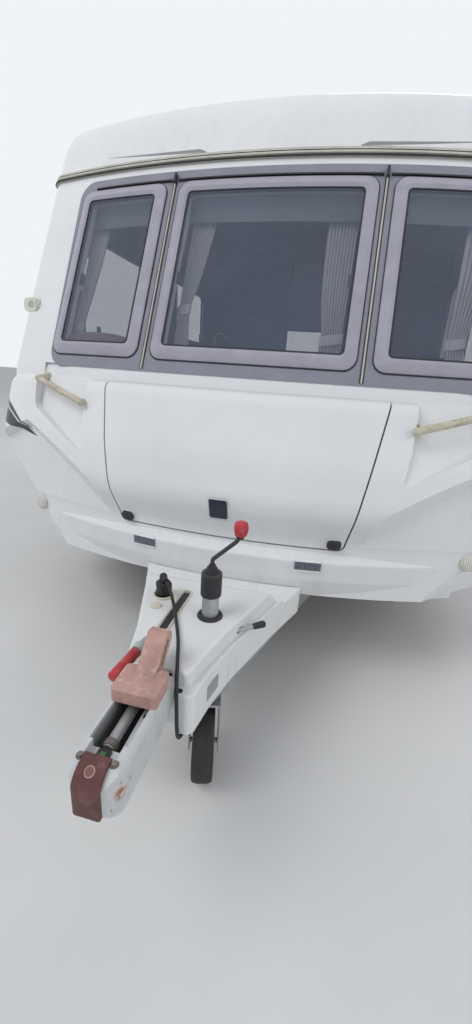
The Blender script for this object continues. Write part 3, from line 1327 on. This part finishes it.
HEX = [(0.0092 * cos(radians(60 * k)), 0.0092 * sin(radians(60 * k))) for k in range(6)]
SMALL_HEX = [(u * 0.65, v * 0.65) for u, v in HEX]
for side in (1, -1):
    start = (side * 0.034, along(-0.944), 0.8)
    washer = turned(
        "coupling_washer_%d" % (side + 1),
        [(-0.002, 0.0), (-0.002, 0.0080), (0.0012, 0.0080), (0.0016, 0.0076), (0.0016, 0.0)], ("coupling_head",),
        start, DOWN, UP,
    )
    dress(washer, "body", "galvanised", "rusty_steel")
    head = mounted("coupling_bolt_%d" % (side + 1), SMALL_HEX, ("coupling_head",), start, DOWN, 0.0060, 0.001)
    dress(head, "body", "galvanised", "rusty_steel")
disc = [(-0.003, 0.0), (-0.003, 0.0080), (0.0014, 0.0080), (0.0020, 0.0072), (0.0020, 0.0)]
rim = [(-0.003, 0.0078), (-0.003, 0.0100), (0.0012, 0.0100), (0.0018, 0.0092), (0.0018, 0.0078)]
dress(
    turned("dock_disc_rim", rim, ("soft_dock",), (0.0, along(-0.968), ABOVE), DOWN), "body", "maroon_rubber",
    "pink_plastic",
)
dress(
    turned("dock_disc", disc, ("soft_dock",), (0.0, along(-0.968), ABOVE), DOWN), "body", "maroon_rubber",
    "faded_red",
)
window_place, window_normal = seat(("coupling_head", "drawbar_fittings"), (-0.004, along(-0.922), ABOVE), DOWN)
frame_outline = rounded_outline(0.026, 0.030, 0.004)
dress(
    plate(
        "indicator_frame", frame_outline, window_place - window_normal * 0.002, NEARSIDE, REARWARD, 0.0075, 0.002,
    ), "body", "black_plastic",
)
dress(
    plate(
        "indicator_window", rounded_outline(0.011, 0.013, 0.002), window_place + Vector((0, 0, 0.0045)), NEARSIDE,
        REARWARD, 0.0020, 0.0008,
    ),
    "body", "black_plastic", "green_window",
)
ring = [(0.0, 0.0121), (0.0, 0.0138), (0.002, 0.0145), (0.013, 0.0145), (0.015, 0.0138), (0.015, 0.0121)]
dress(
    lathe("tube_end_ring", ring, (-0.006, along(-0.897), 0.472), REARWARD, 32), "body", "black_plastic",
    "rusty_steel",
)
dress(
    plate(
        "channel_bar", rounded_outline(0.020, 0.130, 0.003), (0.0255, along(-0.838), 0.438), NEARSIDE, REARWARD,
        0.026, 0.002,
    ), "body", "cast_white",
)
dress(
    plate(
        "lock_hole", rounded_outline(0.009, 0.011, 0.0015), (0.0255, along(-0.800), 0.4637), NEARSIDE, REARWARD,
        0.0012,
    ), "body", "black_plastic",
)


# Tyres with blocks and grooves

TYRE_RADIUS, WHEEL_X, AXLE_BACK = 0.322, 0.9765, 2.750
BLOCKS = 74
BLOCK_STEPS = [(0.00, 0), (0.05, 0), (0.11, 1), (0.20, 1), (0.26, 0), (0.45, 0), (0.63, 0), (0.82, 0)]
# Across, radius, depth of the ring groove, share of the cross groove's depth
TREAD = [
    (-0.0615, 0.1815, 0, 0), (-0.0615, 0.1930, 0, 0), (-0.0740, 0.1955, 0, 0), (-0.0840, 0.2100, 0, 0),
    (-0.0885, 0.2280, 0, 0),
    (-0.0893, 0.2300, 0, 0), (-0.0918, 0.2420, 0, 0), (-0.0927, 0.2440, 0, 0), (-0.0923, 0.2560, 0, 0),
    (-0.0915, 0.2700, 0, 0),
    (-0.0908, 0.2850, 0, 0), (-0.0895, 0.3000, 0, 0.3), (-0.0865, 0.3090, 0, 0.8), (-0.0810, 0.3155, 0, 1),
    (-0.0740, 0.3180, 0, 1),
    (-0.0600, 0.3200, 0, 1), (-0.0460, 0.3210, 0, 1), (-0.0420, 0.3212, 0, 1), (-0.0405, 0.3212, 0.0070, 1),
    (-0.0325, 0.3216, 0.0070, 1),
    (-0.0310, 0.3216, 0, 0.55), (-0.0190, 0.3218, 0, 0.55), (-0.0180, 0.3218, 0, 0), (-0.0060, 0.3220, 0, 0),
    (-0.0047, 0.3220, 0.0070, 0),
]
TREAD += [(-across, radius, groove, cross) for across, radius, groove, cross in reversed(TREAD)]


def tyre_piece(name, side):
    """Tyre about its axle, ring by ring, with the cross grooves leaning away from the middle."""
    form = bmesh.new()
    rings = []
    steps = BLOCKS * len(BLOCK_STEPS)
    centre = Vector((side * WHEEL_X, along(AXLE_BACK), TYRE_RADIUS))
    for across, radius, groove, cross in TREAD:
        lean = min(abs(across), 0.081) * 0.62
        ring = []
        for k in range(steps):
            block_share, low = BLOCK_STEPS[k % len(BLOCK_STEPS)]
            stagger = 0.5 * 2 * pi / BLOCKS if across > 0 else 0
            turn = 2 * pi * (k // len(BLOCK_STEPS) + block_share) / BLOCKS + lean + stagger
            deep = max(groove, 0.0062 * cross * low)
            ring.append(
                form.verts.new(centre + Vector((across, (radius - deep) * sin(turn), (radius - deep) * cos(turn))))
            )
        rings.append(ring)
    for index, (first, second) in enumerate(zip(rings, rings[1:] + rings[:1])):
        crossing = TREAD[index][0] < 0 < TREAD[(index + 1) % len(rings)][0] or index == len(rings) - 1
        skip = len(BLOCK_STEPS) // 2 if crossing else 0
        skip = -skip if index == len(rings) - 1 else skip
        for k in range(steps):
            n = (k + 1) % steps
            form.faces.new((first[k], first[n], second[(n - skip) % steps], second[(k - skip) % steps]))
    return sharpen(from_bmesh(name, form), 30)


for label, side in (("nearside", 1), ("offside", -1)):
    body = label + "_road_wheel"
    tyre = dress(tyre_piece(label + "_road_tyre", side), body, "tyre_rubber")
    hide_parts(label + "_tyre")
    centre = Vector((side * WHEEL_X, along(AXLE_BACK), TYRE_RADIUS))
    out = Vector((side, 0, 0))
    cap = [(0.012, 0.0), (0.012, 0.0300), (0.030, 0.0295), (0.036, 0.0260), (0.0385, 0.0180), (0.0390, 0.0)]
    dress(lathe(label + "_hub_cap", cap, centre, out, 48, 40), body, "black_plastic")
    for k in range(5):
        turn = radians(90 + 72 * k)
        place = centre + Vector((0, 0.0455 * cos(turn), 0.0455 * sin(turn)))
        seat_ring = [(0.017, 0.0), (0.017, 0.0115), (0.020, 0.0115), (0.0215, 0.0100), (0.0215, 0.0)]
        dress(lathe("%s_bolt_seat_%d" % (label, k), seat_ring, place, out, 24), body, "galvanised")
        right, up = Vector((0, side, 0)), Vector(UP)
        bolt = plate("%s_wheel_bolt_%d" % (label, k), HEX, place + out * 0.021, right, up, 0.011, 0.0015)
        dress(bolt, body, "galvanised", "rusty_steel" if k == 2 else "galvanised")
    valve = [(0.030, 0.0), (0.030, 0.0045), (0.046, 0.0040), (0.047, 0.0050), (0.056, 0.0050), (0.057, 0.0)]
    dress(lathe(label + "_valve", valve, centre + Vector((0, 0.138, 0.062)), out, 20), body, "black_plastic")


# Side details: side, back, height, length, tall, corner, thickness, bevel, finish, body

def side_plate(
    name, side, back, height, length, tall, corner, thick, bevel, finish, body="body", names=None, slot=None,
):
    """Plate on one side wall, or on what stands proud of it."""
    names = names or (("nearside_wall", "entrance_door") if side > 0 else ("offside_wall",))
    piece = mounted(
        name, rounded_outline(length, tall, corner), names, (side * 1.4, along(back), height), (-side, 0, 0), thick,
        bevel,
    )
    return dress(piece, body, slot or finish, finish)


SIDE_WINDOWS = [
    (1, 1.200, 1.555, 0.880, 0.560), (1, 3.700, 1.600, 0.800, 0.500),
    (-1, 1.200, 1.555, 0.880, 0.560), (-1, 2.560, 1.640, 0.800, 0.460), (-1, 4.000, 1.600, 0.700, 0.500),
]
for number, (side, back, height, length, tall) in enumerate(SIDE_WINDOWS):
    side_plate(
        "side_window_hinge_%d" % number, side, back, height + tall / 2 + 0.026, length + 0.010, 0.020, 0.006, 0.017,
        0.004, "black_plastic",
    )
    for end in (-1, 1):
        across = side * (HALF_WIDTH - 0.034)
        catch = plate(
            "side_window_catch_%d_%d" % (number, end + 1), rounded_outline(0.022, 0.070, 0.008),
            (across, along(back + end * length * 0.32), height - tall / 2 + 0.060), (0, -side, 0), UP, 0.014, 0.004,
        )
        dress(catch, "body", "black_plastic")
        stay = tube("side_window_stay_%d_%d" % (number, end + 1), [
            (side * 1.079, along(back + end * (length / 2 - 0.035)), height - tall / 2 + 0.05),
            (side * 1.076, along(back + end * (length / 2 - 0.034)), height),
            (side * 1.079, along(back + end * (length / 2 - 0.035)), height + tall / 2 - 0.05),
        ], 0.0045)
        dress(stay, "body", "galvanised")
    side_plate(
        "side_window_drip_%d" % number, side, back, height - tall / 2 - 0.030, length - 0.060, 0.006, 0.002, 0.006,
        0.002, "white_aluminium",
    )

DOOR_BACK, DOOR_LENGTH = 2.030, 0.580
DOOR_NODES = ("entrance_door",)
side_plate(
    "door_handle_plate", 1, 2.255, 1.185, 0.088, 0.170, 0.020, 0.006, 0.002, "black_plastic", "door",
    ("nearside_wall", "entrance_door"),
)
lock = [(0.0, 0.0), (0.0, 0.011), (0.005, 0.011), (0.0065, 0.0095), (0.0065, 0.0)]
dress(
    turned("door_lock", lock, DOOR_NODES, (1.4, along(2.255), 1.075), (-1, 0, 0)), "door", "galvanised", "steel_trim",
)
side_plate(
    "door_moulding_low", 1, DOOR_BACK, 0.770, 0.430, 0.300, 0.045, 0.006, 0.005, "white_aluminium", "door",
    DOOR_NODES,
)
side_plate(
    "door_moulding_mid", 1, DOOR_BACK - 0.030, 1.150, 0.330, 0.260, 0.045, 0.006, 0.005, "white_aluminium", "door",
    DOOR_NODES,
)
door_rows = []
for u, v in rounded_path(0.330 + 0.016, 0.470 + 0.016, 0.055, straight=12):
    door_rows.append((Vector((1.115, along(DOOR_BACK + u), 1.600 + v)), Vector(NEARSIDE)))
dress(bead("door_window_rubber", door_rows, 0.016, -0.001, 0.007, cyclic=True, bevel=0.002), "door", "black_plastic")
for number, height in enumerate((0.680, 1.380, 2.080)):
    hinge = [
        (-0.030, 0.0), (-0.030, 0.0075), (-0.001, 0.0075), (-0.001, 0.0068), (0.001, 0.0068), (0.001, 0.0075),
        (0.030, 0.0075), (0.030, 0.0),
    ]
    dress(
        lathe(
            "door_hinge_%d" % number, hinge, (1.1145, along(DOOR_BACK - DOOR_LENGTH / 2 - 0.016), height), UP, 24,
        ),
        "body", "galvanised", "steel_trim",
    )
gutter_rows = []
for k in range(25):
    reach = -0.340 + 0.680 * k / 24
    gutter_rows.append((Vector((HALF_WIDTH, along(DOOR_BACK + reach), 2.312 - 0.35 * reach**2)), Vector(NEARSIDE)))
dress(bead("door_gutter", gutter_rows, 0.014, -0.001, 0.012, bevel=0.003), "body", "white_aluminium")
side_plate("awning_light_base", 1, DOOR_BACK, 2.395, 0.260, 0.056, 0.020, 0.012, 0.004, "grey_trim")
side_plate("awning_light_lens", 1, DOOR_BACK, 2.395, 0.236, 0.040, 0.016, 0.026, 0.010, "lamp_lens")
side_plate(
    "door_step_bar", 1, DOOR_BACK, 0.440, 0.560, 0.016, 0.004, 0.014, 0.003, "black_plastic",
    names=("side_skirts", "nearside_wall"),
)

HATCHES = [
    (-1, 3.260, 0.760, 0.440, 0.220, True), (-1, 3.260, 1.330, 0.440, 0.220, True),
    (-1, 1.500, 0.700, 0.240, 0.200, False),
    (1, 4.300, 0.760, 0.380, 0.320, False), (1, 3.330, 0.780, 0.240, 0.200, False),
]
for number, (side, back, height, length, tall, louvred) in enumerate(HATCHES):
    names = ("service_hatches",)
    if louvred:
        side_plate(
            "vent_shadow_%d" % number, side, back, height, length - 0.060, tall - 0.050, 0.010, 0.0008, 0.0,
            "black_plastic", names=names,
        )
        for k in range(7):
            rise = height - tall / 2 + 0.040 + k * (tall - 0.080) / 6
            side_plate(
                "vent_slat_%d_%d" % (number, k), side, back, rise, length - 0.066, 0.0125, 0.004, 0.0055, 0.004,
                "grey_trim", names=names,
            )
    else:
        side_plate(
            "hatch_panel_%d" % number, side, back, height, length - 0.050, tall - 0.050, 0.014, 0.0025, 0.002,
            "white_aluminium", names=names,
        )
        for end in (-1, 1):
            knob_start = (side * 1.4, along(back + end * (length / 2 - 0.016)), height)
            dress(
                turned("hatch_lock_%d_%d" % (number, end + 1), lock, names, knob_start, (-side, 0, 0)), "body",
                "galvanised", "steel_trim",
            )


# Rear: blank number plate, lamps over it, handles, top marker lamps, bumper strip

def rear_plate(name, across, height, length, tall, corner, thick, bevel, finish, names=("rear_panel",), slot=None):
    piece = mounted(
        name, rounded_outline(length, tall, corner), names, (across, REAR_FACE + 0.5, height), FORWARD, thick, bevel,
    )
    return dress(piece, "body", slot or finish, finish)


rear_plate("number_plate_frame", 0, 0.700, 0.545, 0.136, 0.010, 0.010, 0.004, "black_plastic")
rear_plate("number_plate_blank", 0, 0.700, 0.518, 0.110, 0.005, 0.0125, 0.001, "grey_trim", slot="grey_trim")
for side in (1, -1):
    rear_plate("plate_lamp_%d" % (side + 1), side * 0.140, 0.800, 0.078, 0.030, 0.008, 0.022, 0.006, "black_plastic")
    rear_plate("top_marker_%d" % (side + 1), side * 0.820, 2.300, 0.110, 0.032, 0.014, 0.018, 0.007, "red_lens")
    rear_plate(
        "rear_seam_strip_%d" % (side + 1), side * 0.780, 1.180, 0.018, 0.560, 0.006, 0.008, 0.003, "white_aluminium",
    )
    handle_points = []
    for height, proud in (
        (0.980, 0.004), (1.000, 0.050), (1.060, 0.058), (1.180, 0.060), (1.240, 0.050), (1.262, 0.004),
    ):
        place, normal = seat(("rear_panel",), (side * 0.640, REAR_FACE + 0.5, height), FORWARD)
        handle_points.append(place + Vector((0, proud * 0.35 if proud > 0.03 else proud, 0)))
    dress(tube("rear_handle_%d" % (side + 1), handle_points, 0.0105), "body", "cream_handle")
    for label, height in (("low", 0.980), ("high", 1.262)):
        foot = [(-0.003, 0.0), (-0.003, 0.020), (0.005, 0.020), (0.008, 0.016), (0.009, 0.0)]
        dress(
            turned(
                "rear_handle_foot_%s_%d" % (label, side + 1), foot, ("rear_panel",),
                (side * 0.640, REAR_FACE + 0.5, height), FORWARD,
            ), "body", "cream_handle",
        )
rear_plate("rear_window_hinge", 0, 1.832, 1.010, 0.020, 0.006, 0.017, 0.004, "black_plastic")
rear_plate("rear_bump_strip", 0, 0.560, 1.560, 0.044, 0.012, 0.012, 0.005, "grey_trim")


# Furniture fronts, doors with finger pulls, sink, tap and hob cover

FRONTS = []
for start, end, face, low, high, count in (
    (
        0.424, 1.680, 0.467, 0.470, 0.780, 2,
    ), (2.500, 3.400, 0.517, 0.470, 1.300, 2), (2.500, 3.400, 0.517, 1.330, 2.400, 2),
    (0.770, 1.670, 0.747, 1.985, 2.265, 2),
):
    FRONTS.append((1, start, end, face, low, high, count))
for start, end, face, low, high, count in (
    (
        0.424, 1.960, 0.467, 0.470, 0.780, 3,
    ), (2.100, 3.400, 0.517, 0.470, 1.270, 3), (0.770, 3.400, 0.747, 1.985, 2.265, 5),
):
    FRONTS.append((-1, start, end, face, low, high, count))
for row, (side, start, end, face, low, high, count) in enumerate(FRONTS):
    pitch = (end - start) / count
    for k in range(count):
        middle = start + pitch * (k + 0.5)
        leaf = plate(
            "front_%d_%d" % (row, k), rounded_outline(pitch - 0.016, high - low, 0.012),
            (side * face, along(middle), (low + high) / 2), (0, -side, 0), UP, 0.014, 0.004,
        )
        dress(leaf, "body", "wood")
        pull = plate(
            "pull_%d_%d" % (row, k), rounded_outline(0.090, 0.014, 0.006),
            (side * (face - 0.0135), along(middle), high - 0.035), (0, -side, 0), UP, 0.012, 0.004,
        )
        dress(pull, "body", "galvanised", "steel_trim")
worktop = 1.340
dress(
    plate(
        "hob_cover", rounded_outline(0.420, 0.440, 0.030), (-0.790, along(2.420), worktop), NEARSIDE, REARWARD,
        0.012, 0.004,
    ), "body", "tinted_pane",
)
dress(
    plate(
        "sink_rim", rounded_outline(0.400, 0.380, 0.060), (-0.790, along(2.980), worktop), NEARSIDE, REARWARD,
        0.005, 0.002,
    ),
    "body", "galvanised", "steel_trim",
)
tap_points = [
    (-0.960, along(2.980), worktop), (-0.960, along(2.980), worktop + 0.15), (-0.930, along(2.980), worktop + 0.20),
    (-0.850, along(2.980), worktop + 0.19), (-0.820, along(2.980), worktop + 0.13),
]
dress(tube("sink_tap", tap_points, 0.0095), "body", "galvanised", "steel_trim")


# Cushions with their piping

SEAT_ROWS = [(1, 0.424, 1.046), (1, 1.058, 1.680), (-1, 0.424, 1.186), (-1, 1.198, 1.960)]
cushion_pieces = []
for number, (side, start, end) in enumerate(SEAT_ROWS):
    low_x, high_x = sorted((side * 0.471, side * 1.073))
    low, high = (low_x, along(start), 0.800), (high_x, along(end), 0.922)
    cushion_pieces.append(cushion("seat_cushion_%d" % number, low, high, 0.014, 2))
    piping("seat_piping_%d" % number, low, high, 2, True, "body")
    low_x, high_x = sorted((side * 0.955, side * 1.073))
    low, high = (low_x, along(start), 0.930), (high_x, along(end), 1.252)
    cushion_pieces.append(cushion("back_cushion_%d" % number, low, high, 0.014, 0))
    piping("back_piping_%d" % number, low, high, 0, side < 0, "body")
cushion_pieces.append(cushion("mattress", (-1.040, along(4.258), 0.851), (1.040, along(4.880), 0.957), 0.010, 2))
for piece in cushion_pieces:
    dress(piece, "body", "upholstery")
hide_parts("cushions")

# Bolster that lies on the front shelf behind the left window
BOLSTER_START, BOLSTER_LENGTH, BOLSTER_RADIUS, SHELF_TOP = -0.850, 0.290, 0.092, 1.112
profile = [(0.0, 0.0), (0.002, 0.030)]
for k in range(15):
    share = k / 14
    profile.append((BOLSTER_LENGTH * share, BOLSTER_RADIUS * (0.72 + 0.28 * sin(pi * share) ** 0.45)))
profile += [(BOLSTER_LENGTH - 0.002, 0.030), (BOLSTER_LENGTH, 0.0)]
bolster = lathe("sill_bolster", profile, (BOLSTER_START, along(0.300), SHELF_TOP + BOLSTER_RADIUS), NEARSIDE, 48, 60)
for vertex in bolster.data.vertices:
    lowest = SHELF_TOP + 0.001
    vertex.co.z = lowest + (vertex.co.z - lowest) * (1 if vertex.co.z > lowest + 0.012 else 0.5)
dress(bolster, "body", "upholstery", "bolster_cloth")


low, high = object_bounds()
